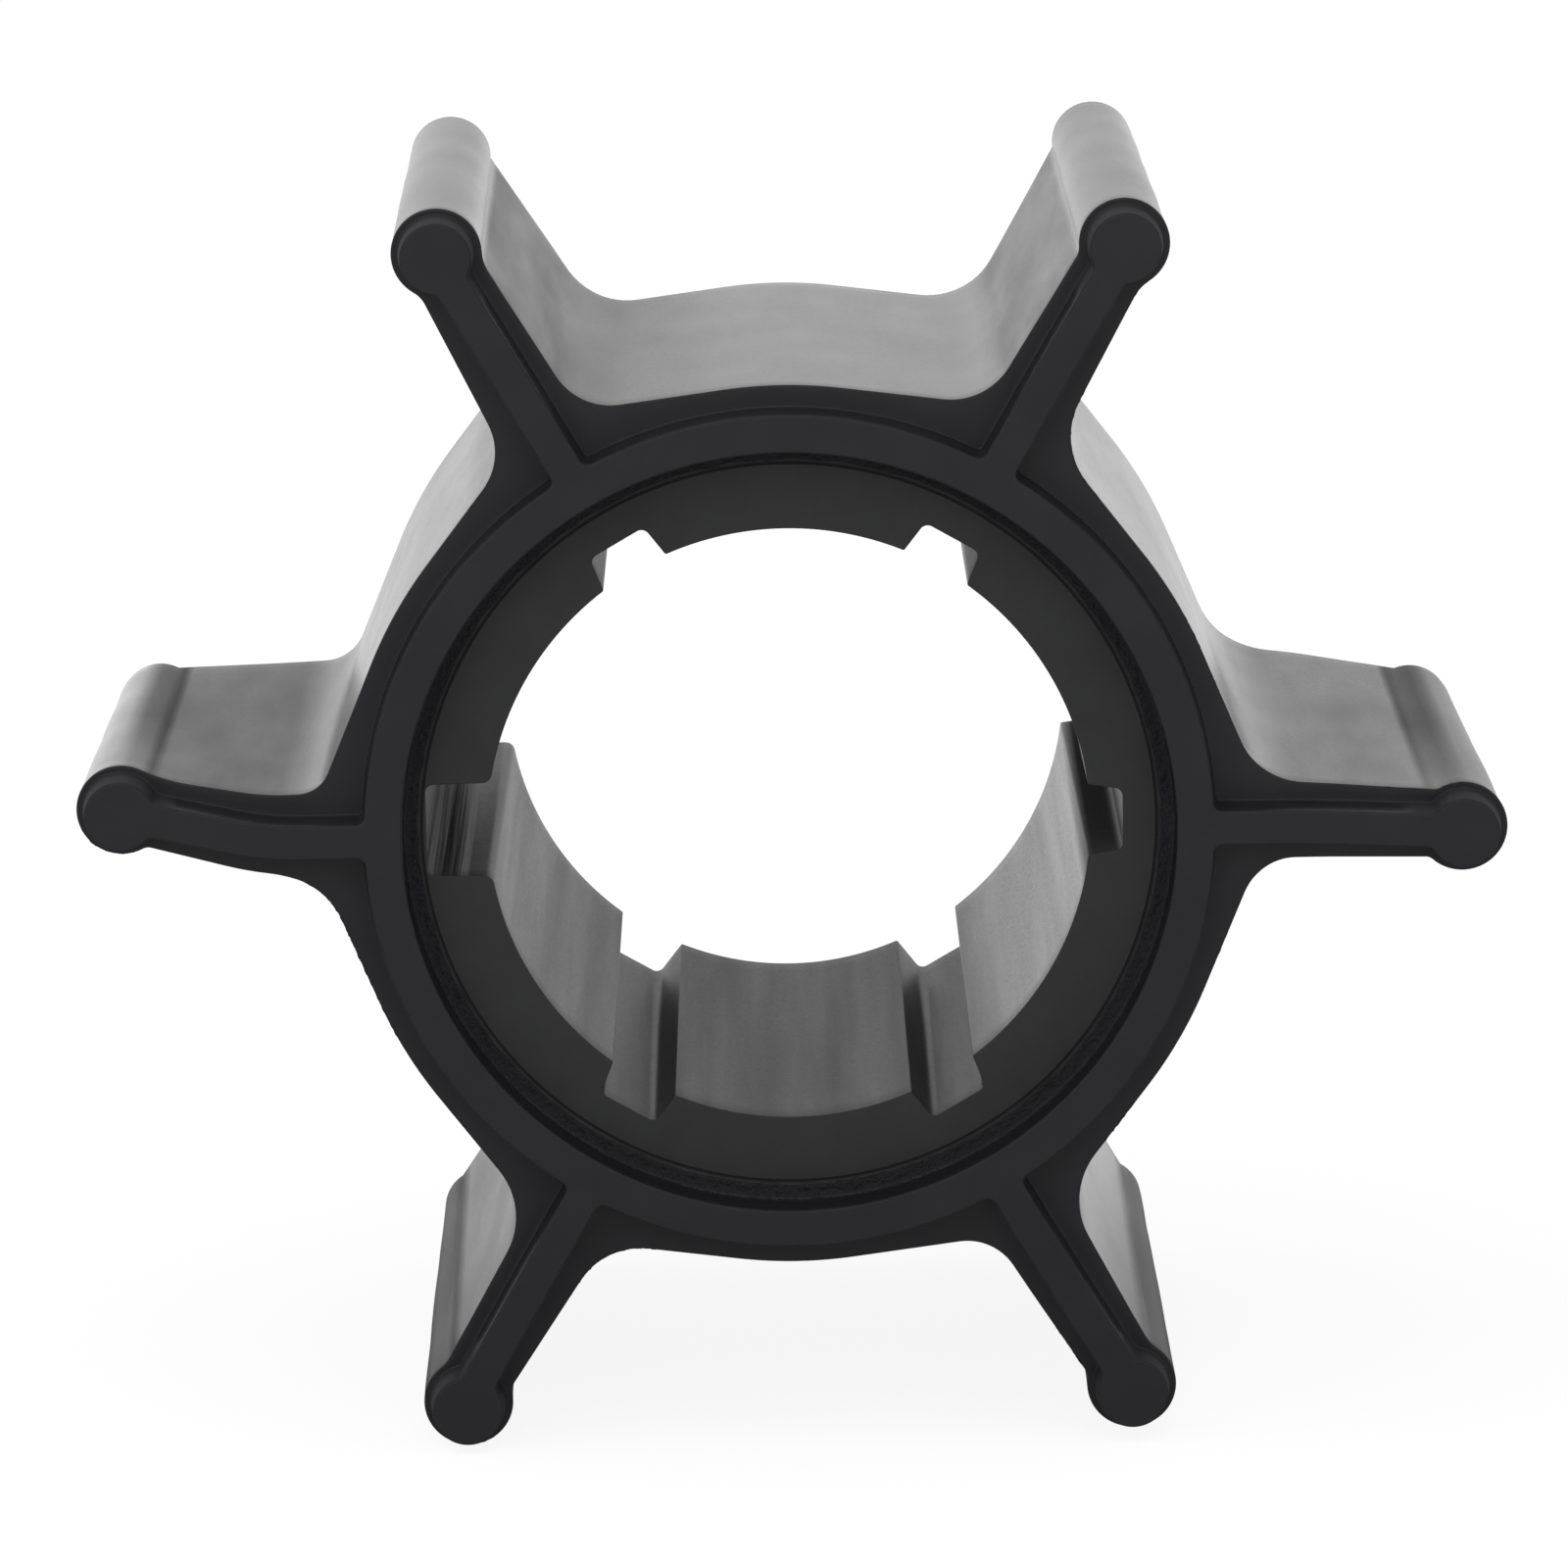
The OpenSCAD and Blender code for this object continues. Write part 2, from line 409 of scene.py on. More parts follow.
class Skin:
    """Collects closed loops of points and the faces between them."""

    def __init__(self):
        self.points = []
        self.faces = []
        self.flat = []

    def add(self, loop):
        """Adds a loop's points and returns their numbers."""
        first = len(self.points)
        self.points += [tuple(p) for p in loop]
        return range(first, first + len(loop))

    def walls(self, loops, closed=False):
        """Adds loops of equal count and the quads between neighbours."""
        rows = [self.add(loop) for loop in loops]
        pairs = list(zip(rows, rows[1:])) + ([(rows[-1], rows[0])] if closed else [])
        for low, high in pairs:
            count = len(low)
            self.faces += [
                (low[k], low[(k + 1) % count], high[(k + 1) % count], high[k]) for k in range(count)
            ]
        return rows

    def cap(self, outer, inner):
        """Fills the flat ring between two loops that are already there."""
        outlines = [[Vector(self.points[k]).xzy for k in row] for row in (outer, inner)]
        numbers = list(outer) + list(inner)
        filled = [tuple(numbers[k] for k in face) for face in geometry.tessellate_polygon(outlines)]
        self.flat += range(len(self.faces), len(self.faces) + len(filled))
        self.faces += filled

    def mesh(self, name):
        """The mesh, with every face turned outwards, smooth walls and flat caps."""
        made = bpy.data.meshes.new(name)
        made.from_pydata(self.points, [], self.faces)
        build = bmesh.new()
        build.from_mesh(made)
        bmesh.ops.recalc_face_normals(build, faces=build.faces)
        build.to_mesh(made)
        build.free()
        made.polygons.foreach_set("use_smooth", [True] * len(made.polygons))
        made.set_sharp_from_angle(angle=SHARP_ANGLE)
        for number in self.flat:
            made.polygons[number].use_smooth = False
        return made

    def piece(self, name, material, replaced):
        """Makes the mesh object, which rides on the part's one body."""
        mesh = self.mesh(name)
        mesh.materials.append(material)
        made = bpy.data.objects.new(name, mesh)
        bpy.context.scene.collection.objects.link(made)
        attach(made, "root")
        if replaced:
            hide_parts(replaced)
        return made


def body_shape(rubber, depth):
    """The moulding's own outline at a depth: hub and beads narrow to the back with the mould's draft.

    The necks between blades and beads are soft at the front end and tighten to a crease behind it.
    """
    share = (depth - FRONT) / (BACK - FRONT)

    def neck(vane, side):
        soft = max(1 - share / vane.soft, 0.0)
        return vane.neck[side] * MM * soft + rubber.crease * (1 - soft)

    return {
        "share": share,
        "hub": rubber.hub - rubber.hub_draft * share,
        "flat": True,
        "start": rubber.root_start,
        "tip_half": rubber.tip_half,
        "bead": rubber.bead_front + (rubber.bead_back - rubber.bead_front) * share,
        "reach": lambda vane: (vane.reach[0] * (1 - share) + vane.reach[1] * share) * MM,
        "root": lambda vane, side: vane.root[side] * MM,
        "fillet": lambda vane, side: vane.fillet[side] * MM + rubber.fillet_growth * share,
        "neck": neck,
    }


def raised_shape(rubber, depth):
    """The outline of the raised ring, ribs and discs at their top."""
    body = body_shape(rubber, depth)
    return {
        **body,
        "hub": rubber.ring,
        "flat": False,
        "tip_half": rubber.rib_half,
        "bead": body["bead"] - rubber.disc_inset,
        "root": lambda vane, side: rubber.rib_half,
        "fillet": lambda vane, side: rubber.corner,
        "neck": lambda vane, side: rubber.corner,
    }


def end_loops(rubber, end, way):
    """Loops from the top of one end's raised parts out to the moulding's side wall.

    end is the depth of the raised top, and way is the step along the bore that leads into the part.
    """
    top = star(raised_shape(rubber, end))
    body = star(body_shape(rubber, end))
    shoulder = end + way * rubber.raise_height
    edge, foot, body_edge = rubber.raised_edge, rubber.foot_fillet, rubber.body_edge
    loops = [
        placed(offset(top, edge * (s - 1)), end + way * edge * (1 - c)) for s, c in quarter(EDGE_LOOPS)[::-1]
    ]
    for k in range(1, DRAFT_LOOPS + 1):
        height = end + way * (edge + (rubber.raise_height - edge - foot) * k / DRAFT_LOOPS)
        loops.append(placed(offset(top, rubber.draft * k / DRAFT_LOOPS), height))
    for c, s in quarter(SMALL_EDGE_LOOPS)[1:]:
        loops.append(placed(offset(top, rubber.draft + foot * (1 - c)), shoulder - way * foot * (1 - s)))
    inner, outer = offset(top, rubber.draft + foot), offset(body, -body_edge)
    for share in SHOULDER_SHARES:
        loops.append(placed(inner + (outer - inner) * share, shoulder))
    for c, s in quarter(EDGE_LOOPS)[::-1]:
        loops.append(placed(offset(body, body_edge * (c - 1)), shoulder + way * body_edge * (1 - s)))
    return loops


# Where the walls' unevenness is read from the noise
WOBBLE_SEED = 3.7


def uneven(loop, depth, rubber):
    """An outline whose points move along its normals by slow noise."""
    spots = placed(loop, depth) / rubber.wobble_size + WOBBLE_SEED
    shift = np.array([noise.noise(Vector(spot)) for spot in spots])
    return loop + (rubber.wobble * shift)[:, None] * outwards(loop)


def side_loops(rubber):
    """Loops along the moulding's side wall, between its two rounded edges."""
    start = FRONT + rubber.raise_height + rubber.body_edge
    end = BACK - rubber.raise_height - rubber.body_edge
    return [
        placed(uneven(star(body_shape(rubber, depth)), depth, rubber), depth)
        for depth in np.linspace(start, end, SIDE_LOOPS)[1:-1]
    ]


def lap_loops(rubber, end, face, way):
    """Circles from the ring's inner edge down to the insert's face and out to the bonded seat."""
    edge = rubber.raised_edge
    loops = [
        placed(circle(rubber.ring_bore + edge * (1 - s)), end + way * edge * (1 - c))
        for s, c in quarter(EDGE_LOOPS)[::-1]
    ]
    loops.append(placed(circle(rubber.ring_bore), (end + face) / 2))
    loops.append(placed(circle(rubber.ring_bore), face))
    loops.append(placed(circle(SEAT_RADIUS), face))
    return loops


class IMPELLER_OT_moulding(bpy.types.Operator):
    """Build the rubber moulding with its vanes, ribs and raised ring"""

    bl_idname = "impeller.moulding"
    bl_label = "Rubber Moulding"
    bl_options = {"REGISTER", "UNDO"}

    def execute(self, context):
        rubber = context.scene.rubber_sizes
        skin = Skin()
        outside = end_loops(rubber, FRONT, 1) + side_loops(rubber) + end_loops(rubber, BACK, -1)[::-1]
        inside = lap_loops(rubber, FRONT, INSERT_FRONT, 1) + lap_loops(rubber, BACK, INSERT_BACK, -1)[::-1]
        outer, inner = skin.walls(outside), skin.walls(inside)
        skin.cap(outer[0], inner[0])
        skin.cap(outer[-1], inner[-1])
        skin.piece("moulding", rubber_finish(context.scene.finishes), "rubber_impeller")
        return {"FINISHED"}


# The burr's noise: how fast its patches and its coarse and fine lumps change for each millimetre, and where
# the patches are read
BURR_PATCHES = 0.31
BURR_PATCH_SEED = 5.3
BURR_LUMPS = 4.0
BURR_FINE_LUMPS = 11.0
BURR_FINE_SHARE = 0.7
# Size of the burr, as a share, where a noise is 0, how fast it grows with the patches' noise, and its most
BURR_PATCH_MIDDLE = 0.25
BURR_PATCH_GROWTH = 1.6
BURR_LUMP_MIDDLE = 0.6
BURR_LUMP_MOST = 1.6


def burr_size(rubber, edge):
    """Radius of the burr at points along the edge: in patches, and lumpy."""
    spots = [Vector((*spot, 0.0)) / MM for spot in edge]
    patches = BURR_PATCH_MIDDLE + BURR_PATCH_GROWTH * noise_at(spots, BURR_PATCHES, BURR_PATCH_SEED)
    lumps = noise_at(spots, BURR_LUMPS) + BURR_FINE_SHARE * noise_at(spots, BURR_FINE_LUMPS)
    return rubber.burr * np.clip(patches, 0.0, 1.0) * np.clip(BURR_LUMP_MIDDLE + lumps, 0.0, BURR_LUMP_MOST)


def burr_loops(rubber):
    """Loops round the section of the burr of rubber along the moulding's front outer edge."""
    corners = star(body_shape(rubber, FRONT))
    closed = np.vstack((corners, corners[:1]))
    run = np.concatenate(((0.0,), np.cumsum(np.linalg.norm(np.diff(closed, axis=0), axis=1))))
    along = np.linspace(0, run[-1], int(run[-1] / rubber.burr_step), endpoint=False)
    edge = np.stack((np.interp(along, run, closed[:, 0]), np.interp(along, run, closed[:, 1])), 1)
    size = burr_size(rubber, edge)
    out = outwards(edge)
    middle = edge - rubber.burr_inset * out
    shoulder = FRONT + rubber.raise_height + rubber.burr_inset
    rows = []
    for angle in np.linspace(0, math.tau, BURR_SIDES, endpoint=False):
        spread = middle + (size * math.cos(angle))[:, None] * out
        rows.append(np.stack((spread[:, 0], shoulder - size * math.sin(angle), spread[:, 1]), 1))
    return rows


class IMPELLER_OT_burr(bpy.types.Operator):
    """Build the fine burr of rubber along the moulding's front outer edge"""

    bl_idname = "impeller.burr"
    bl_label = "Burr"
    bl_options = {"REGISTER", "UNDO"}

    def execute(self, context):
        skin = Skin()
        skin.walls(burr_loops(context.scene.rubber_sizes), closed=True)
        skin.piece("burr", rubber_finish(context.scene.finishes), None)
        return {"FINISHED"}


def slot_side(bore, half, floor, draft, lip, corner):
    """Left half of a slot along +X, from the middle of its floor to where its lip meets the bore."""
    mouth = np.array((math.sqrt(bore * bore - half * half), half))
    wall_end = half - (floor - mouth[0]) * math.tan(draft)
    centre = np.array((floor - corner, wall_end - corner * math.tan(math.pi / 4 - draft / 2)))
    lip_centre = blend_centre(np.zeros(2), bore, lip, mouth, -draft, 1)
    wall_top = lip_centre + lip * direction(-draft - math.pi / 2)
    points = line(np.array((floor, 0.0)), centre + np.array((corner, 0.0)), FLOOR_STEPS)
    points += arc(centre, corner, 0.0, math.pi / 2 - draft, CORNER_STEPS)
    points += line(points[-1], wall_top, WALL_STEPS)
    points += arc(lip_centre, lip, -draft - math.pi / 2, angle_of(-lip_centre), CORNER_STEPS)
    return points


def bore_loop(sizes, depth):
    """Closed outline of the slotted bore at a depth, counter-clockwise from the front."""
    share = (depth - INSERT_FRONT) / (INSERT_BACK - INSERT_FRONT)
    bore = sizes.bore_front + (sizes.bore_back - sizes.bore_front) * share
    slot = (sizes.slot_half, sizes.slot_floor, sizes.slot_draft, sizes.slot_lip)
    keyway = (sizes.keyway_half, sizes.keyway_floor, sizes.keyway_draft, sizes.keyway_lip)
    runs = []
    for index in range(len(VANES)):
        side = slot_side(bore, *(keyway if index == KEYWAY_INDEX else slot), sizes.slot_corner)
        runs.append(turned(mirrored(side) + [np.array((side[0][0], 0.0))] + side, index * PITCH))
    return joined(runs, bore, LAND_STEPS)


def bore_loops(sizes):
    """Loops through the bore, with its two rounded edges."""
    edge = sizes.edge
    front, back = bore_loop(sizes, INSERT_FRONT), bore_loop(sizes, INSERT_BACK)
    front_edge = [
        placed(offset(front, edge * (1 - s)), INSERT_FRONT + edge * (1 - c))
        for s, c in quarter(SMALL_EDGE_LOOPS)[::-1]
    ]
    depths = np.linspace(INSERT_FRONT + edge, INSERT_BACK - edge, BORE_LOOPS)[1:-1]
    back_edge = [
        placed(offset(back, edge * (1 - s)), INSERT_BACK - edge * (1 - c)) for s, c in quarter(SMALL_EDGE_LOOPS)
    ]
    return front_edge + [placed(bore_loop(sizes, depth), depth) for depth in depths] + back_edge


def rim_loops(sizes):
    """Loops across the groove in the insert's front face and along its outer wall."""
    groove = [
        placed(circle(sizes.groove + place * sizes.groove_half), INSERT_FRONT + sunk * sizes.groove_depth)
        for place, sunk in GROOVE_SECTION
    ]
    return groove + [placed(circle(SEAT_RADIUS), depth) for depth in (INSERT_FRONT, INSERT_BACK)]


class IMPELLER_OT_insert(bpy.types.Operator):
    """Build the hub insert with its slotted bore"""

    bl_idname = "impeller.insert"
    bl_label = "Hub Insert"
    bl_options = {"REGISTER", "UNDO"}

    def execute(self, context):
        sizes = context.scene.insert_sizes
        skin = Skin()
        inner, outer = skin.walls(bore_loops(sizes)), skin.walls(rim_loops(sizes))
        skin.cap(outer[0], inner[0])
        skin.cap(outer[-1], inner[-1])
        skin.piece("insert", plastic_finish(context.scene.finishes), "hub_insert")
        return {"FINISHED"}


# The film's noise: the radius on which it is read, how fast its ragged edge, the edge's finer notches and its
# lumps change along that radius, and how high a lump is
FILM_SPOT_RADIUS = 14
FILM_RAGGED = 1.3
FILM_NOTCHES = 5.1
FILM_NOTCH_SHARE = 0.5
FILM_LUMPS = 2.2
FILM_LUMP_DRIFT = 9
FILM_LUMP_HEIGHT = 0.18


def film_loops(rubber, sizes):
    """Loops round the film's section: up its ragged inner edge, across its lumpy top and back beneath."""
    angles = np.linspace(0, math.tau, FILM_POINTS, endpoint=False)
    spots = [Vector((FILM_SPOT_RADIUS * math.cos(a), FILM_SPOT_RADIUS * math.sin(a), 0.0)) for a in angles]
    edge = noise_at(spots, FILM_RAGGED) + FILM_NOTCH_SHARE * noise_at(spots, FILM_NOTCHES)
    inner, outer = sizes.film_inner + edge * sizes.film_ragged, rubber.ring_bore + rubber.wobble
    rows = []
    for share, rise in FILM_SECTION:
        lumps = noise_at(spots, FILM_LUMPS, FILM_LUMP_DRIFT * share)
        radius = inner * (1 - share) + outer * share
        height = sizes.film_thickness * rise * (1 + FILM_LUMP_HEIGHT * lumps)
        rows.append(np.stack((radius * np.cos(angles), INSERT_FRONT - height, radius * np.sin(angles)), 1))
    rows.append(placed(circle(outer, FILM_POINTS), INSERT_FRONT))
    return rows


class IMPELLER_OT_film(bpy.types.Operator):
    """Build the thin film of rubber that flashed over the insert's rim"""

    bl_idname = "impeller.film"
    bl_label = "Flash Film"
    bl_options = {"REGISTER", "UNDO"}

    def execute(self, context):
        skin = Skin()
        skin.walls(film_loops(context.scene.rubber_sizes, context.scene.insert_sizes), closed=True)
        skin.piece("flash_film", rubber_finish(context.scene.finishes), None)
        return {"FINISHED"}


class Nodes:
    """Makes and joins shader nodes in one tree."""

    def __init__(self, tree):
        self.tree = tree
        tree.nodes.clear()

    def add(self, kind, inputs=None, **settings):
        """Adds a node, with its settings, and sets or links its inputs by name or number."""
        made = self.tree.nodes.new(kind)
        for name, value in settings.items():
            setattr(made, name, value)
        for name, value in (inputs or {}).items():
            if isinstance(value, bpy.types.NodeSocket):
                self.tree.links.new(value, made.inputs[name])
            else:
                made.inputs[name].default_value = value
        return made

    def noise(self, coordinates, scale, detail):
        """Noise between 0 and 1."""
        made = self.add(
            "ShaderNodeTexNoise",
            {"Vector": coordinates, "Scale": scale, "Detail": detail, "Roughness": NOISE_ROUGHNESS},
        )
        return made.outputs["Fac"]

    def stretched(self, coordinates, scales):
        """Coordinates scaled along each axis."""
        return self.add("ShaderNodeMapping", {"Vector": coordinates, "Scale": scales}).outputs["Vector"]

    def drawn_noise(self, coordinates, scales, detail):
        """Noise with its own scale along each axis."""
        return self.noise(self.stretched(coordinates, scales), 1.0, detail)

    def ranged(self, value, low, high, new_low, new_high):
        """A value carried from one range to another, and held inside it."""
        made = self.add(
            "ShaderNodeMapRange",
            {"Value": value, "From Min": low, "From Max": high, "To Min": new_low, "To Max": new_high},
        )
        return made.outputs["Result"]

    def ramp(self, distance, stretch):
        """A value that changes over a stretch: its start and end in millimetres, and the values there."""
        start, end, first, last = stretch
        return self.ranged(distance, start * MM, end * MM, first, last)

    def maths(self, operation, first, second=0.0):
        """One operation on two values."""
        return self.add("ShaderNodeMath", {0: first, 1: second}, operation=operation).outputs[0]

    def product(self, *values):
        """Two or more values multiplied."""
        return reduce(lambda first, second: self.maths("MULTIPLY", first, second), values)

    def total(self, *values):
        """Two or more values added."""
        return reduce(lambda first, second: self.maths("ADD", first, second), values)

    def unsigned(self, value):
        """A value without its sign."""
        return self.maths("ABSOLUTE", value)

    def blend(self, share, first, second):
        """A value between two."""
        made = self.add("ShaderNodeMix", {0: share, 2: first, 3: second}, data_type="FLOAT")
        return made.outputs[0]

    def mix(self, share, first, second):
        """A colour mixed from two."""
        made = self.add("ShaderNodeMix", {0: share, 6: first, 7: second}, data_type="RGBA")
        return made.outputs[2]

    def axes(self, vector):
        """The parts of a vector along X, Y and Z."""
        return self.add("ShaderNodeSeparateXYZ", {0: vector}).outputs

    def bump(self, height, strength, distance, below=None):
        """A bumped normal, laid over another one where that is given."""
        inputs = {"Height": height, "Strength": strength, "Distance": distance}
        if below:
            inputs["Normal"] = below
        return self.add("ShaderNodeBump", inputs).outputs["Normal"]


# How strong each finer octave of a noise is against the one before
NOISE_ROUGHNESS = 0.55
# Refractive index of rubber and of plastic
GLOSS_INDEX = 1.5

# The values below that hold four numbers are a start, an end and what a surface has at the start and at the
# end. First come those that run over how far a surface faces along the bore, from 0 to 1, or over a noise
IS_WALL = (0.3, 0.8, 1.0, 0.0)
LEAVES_WALL = (0.1, 0.25, 0.0, 1.0)
BEFORE_FACE = (0.88, 0.97, 1.0, 0.0)
PATCHES = (0.35, 0.65, 0.0, 1.0)


class Surface:
    """Where a shaded point lies on the part and which way it faces, as sockets in a finish's tree."""

    def __init__(self, nodes):
        self.place = nodes.add("ShaderNodeTexCoord").outputs["Object"]
        self.across, self.depth, self.height = (nodes.axes(self.place)[axis] for axis in "XYZ")
        flat = nodes.stretched(self.place, (1.0, 0.0, 1.0))
        self.from_axis = nodes.add("ShaderNodeVectorMath", {0: flat}, operation="LENGTH").outputs["Value"]
        normal = nodes.add("ShaderNodeNewGeometry").outputs["Normal"]
        self.facing = nodes.unsigned(nodes.axes(normal)["Y"])
        self.wall = nodes.ranged(self.facing, *IS_WALL)


def new_finish(name):
    """A new material, its node maker and its surface."""
    material = bpy.data.materials.new(name)
    material.use_nodes = True
    nodes = Nodes(material.node_tree)
    return material, nodes, Surface(nodes)


def paint(colour_value):
    """A colour with its alpha."""
    return (*colour_value, 1.0)


# The rubber's noises: scale for each metre, along each axis where it is drawn out, and detail
RUBBER_GRAIN = (9000.0, 3.0)
RUBBER_CRUMBS = (5000.0, 4.0)
RUBBER_MOTTLE = ((420.0, 100.0, 420.0), 3.0)
RUBBER_STREAKS = ((2200.0, 60.0, 2200.0), 2.0)
# Roughness that the mottle and the grain add, and the mottle's share off and on the blades
MOTTLE_DULL = (0.3, 0.7, -0.05, 0.05)
GRAIN_DULL = (0.3, 0.7, -0.02, 0.02)
MOTTLE_SHARE = (0.0, 1.0, 0.4, 1.0)
# Strength and height of each relief
STREAK_RELIEF = (0.1, 0.00002)
MOTTLE_RELIEF = (0.08, 0.0001)
GRAIN_RELIEF = (0.25, 0.000015)
CRUMB_RELIEF = (1.0, 0.0003)
# Over the distance from the axis, in millimetres
PAST_ROOT = (16.8, 17.8, 0.0, 1.0)
BEFORE_ROOT = (16.8, 17.8, 1.0, 0.0)
BEFORE_BEAD = (22.3, 22.6, 1.0, 0.0)
STRIP_START = (22.0, 22.3, 0.0, 1.0)
STRIP_END = (23.1, 23.8, 1.0, 0.0)
ON_BEAD = (22.6, 23.4, 0.0, 1.0)
LOW_BEAD_DULL = (21.6, 22.2, 0.0, 0.25)
RIB_TO_DISC = (21.2, 21.8, 0.3, 0.8)
INSIDE_RING = (13.35, 13.45, 1.0, 0.0)
# Over X, from left to right
BLADE_DULL = (-22.0, 22.0, 0.19, 0.075)
BEAD_DULL = (-20.0, 20.0, -0.06, 0.1)
LOW_BLADE_DULL = (-10.0, 10.0, 0.08, -0.06)
HUB_DULL = (-6.0, -1.0, 0.1, 0.0)
# Over Y, from the front to the back, and over the distance from the part's middle
STRIP_DULL = (-13.0, 0.0, 0.1, 0.3)
AT_END = (11.5, 11.9, 0.0, 1.0)
# Over Z, and over the distance above or below the axis
LOW_VANES = (-12.0, -10.0, 1.0, 0.0)
HUB_TOP = (11.0, 13.0, 0.0, 1.0)
LEVEL_VANES = (7.0, 9.0, 1.0, 0.0)


def handled_dullness(nodes, surface, on_blade):
    """Roughness added to the side walls where the real moulding has been rubbed and handled.

    The upper vanes have duller blades, and the level ones a strip beside the crease and their own beads. The
    two vanes that the part stands on have dull beads. The hub is duller at its upper left.
    """
    level = nodes.ramp(nodes.unsigned(surface.height), LEVEL_VANES)
    blades = nodes.product(on_blade, nodes.ramp(surface.across, BLADE_DULL))
    by_crease = nodes.product(
        nodes.ramp(surface.from_axis, STRIP_START), nodes.ramp(surface.from_axis, STRIP_END), level
    )
    strips = nodes.product(by_crease, nodes.ramp(surface.depth, STRIP_DULL))
    beads = nodes.product(nodes.ramp(surface.from_axis, ON_BEAD), level, nodes.ramp(surface.across, BEAD_DULL))
    low_blades = nodes.product(on_blade, nodes.ramp(surface.across, LOW_BLADE_DULL))
    low_vanes = nodes.total(low_blades, nodes.ramp(surface.from_axis, LOW_BEAD_DULL))
    vanes = nodes.blend(nodes.ramp(surface.height, LOW_VANES), nodes.total(blades, strips, beads), low_vanes)
    upper_left = nodes.product(nodes.ramp(surface.across, HUB_DULL), nodes.ramp(surface.height, HUB_TOP))
    return nodes.total(vanes, nodes.product(upper_left, nodes.ramp(surface.from_axis, BEFORE_ROOT)))


def rubber_roughness(nodes, surface, finishes, mottle, grain):
    """Roughness of the moulding: satin walls, duller ends, and dull rounded edges on the raised parts."""
    on_blade = nodes.product(
        nodes.ramp(surface.from_axis, PAST_ROOT), nodes.ramp(surface.from_axis, BEFORE_BEAD)
    )
    cloudy = nodes.product(nodes.ranged(mottle, *MOTTLE_DULL), nodes.ranged(on_blade, *MOTTLE_SHARE))
    fine = nodes.total(cloudy, nodes.ranged(grain, *GRAIN_DULL))
    side = nodes.total(finishes.rubber_wall, handled_dullness(nodes, surface, on_blade), fine)
    at_end = nodes.ramp(nodes.unsigned(surface.depth), AT_END)
    side = nodes.blend(at_end, side, nodes.ramp(surface.from_axis, RIB_TO_DISC))
    rounded = nodes.product(
        nodes.ranged(surface.facing, *LEAVES_WALL), nodes.ranged(surface.facing, *BEFORE_FACE), at_end
    )
    rough = nodes.blend(surface.wall, finishes.rubber_end, side)
    rough = nodes.blend(rounded, rough, finishes.rubber_edge)
    return nodes.blend(nodes.ramp(surface.from_axis, INSIDE_RING), rough, finishes.rubber_film)


def rubber_relief(nodes, surface, mottle, grain):
    """Streaks drawn along the walls, the mottle and the grain, and crumbs on the film inside the ring."""
    streaks = nodes.drawn_noise(surface.place, *RUBBER_STREAKS)
    crumbs = nodes.maths("SUBTRACT", nodes.noise(surface.place, *RUBBER_CRUMBS), 0.5)
    relief = nodes.bump(nodes.product(streaks, surface.wall), *STREAK_RELIEF)
    relief = nodes.bump(mottle, *MOTTLE_RELIEF, relief)
    relief = nodes.bump(grain, *GRAIN_RELIEF, relief)
    return nodes.bump(nodes.product(crumbs, nodes.ramp(surface.from_axis, INSIDE_RING)), *CRUMB_RELIEF, relief)


def rubber_finish(finishes):
    """Satin black rubber: fine grain on the ends, drawn streaks and soft mottling on the walls."""
    material, nodes, surface = new_finish("satin rubber")
    grain = nodes.noise(surface.place, *RUBBER_GRAIN)
    mottle = nodes.drawn_noise(surface.place, *RUBBER_MOTTLE)
    shader = nodes.add("ShaderNodeBsdfPrincipled", {
        "Base Color": nodes.mix(
            nodes.ranged(mottle, *PATCHES), paint(finishes.rubber), paint(finishes.rubber_patches)
        ),
        "Roughness": rubber_roughness(nodes, surface, finishes, mottle, grain),
        "IOR": GLOSS_INDEX,
        "Normal": rubber_relief(nodes, surface, mottle, grain),
    })
    nodes.add("ShaderNodeOutputMaterial", {"Surface": shader.outputs[0]})
    return material


# The plastic's noises, as the rubber's
PLASTIC_GRAIN = (7000.0, 4.0)
PLASTIC_MOTTLE = (500.0, 3.0)
PLASTIC_STREAKS = ((900.0, 40.0, 900.0), 3.0)
KEYWAY_DRAWN = ((2600.0, 25.0, 2600.0), 2.0)
# Roughness that the streaks and the grain give, and that the faces add
PLASTIC_STREAK_DULL = (0.3, 0.7, 0.4, 0.48)
PLASTIC_GRAIN_DULL = (0.3, 0.7, -0.03, 0.04)
FACE_DULL = (0.0, 1.0, 0.12, 0.0)
# Strength and height of each relief
PLASTIC_STREAK_RELIEF = (0.12, 0.00005)
PLASTIC_GRAIN_RELIEF = (0.25, 0.00002)
KEYWAY_RELIEF = (0.9, 0.0002)
# Over the distance from the axis, in millimetres, and over the distance to its left or right
ON_LAND = (10.6, 10.7, 1.0, 0.0)
ASIDE = (4.0, 8.0, 0.0, 1.0)
# Over X, from left to right
LAND_SHINE = (-2.0, 2.0, 0.05, 0.19)
RIGHT_SLOT_DULL = (10.2, 10.6, 0.0, 0.5)
RIGHT_SLOT_END = (11.3, 11.6, 1.0, 0.0)
KEYWAY_DULL = (-11.8, -11.2, 0.12, 0.0)
IN_KEYWAY = (-11.6, -11.2, 1.0, 0.0)
# Strength of the plastic's mirror layer, where 0.5 is a plain one
PLASTIC_SPECULAR = 0.3


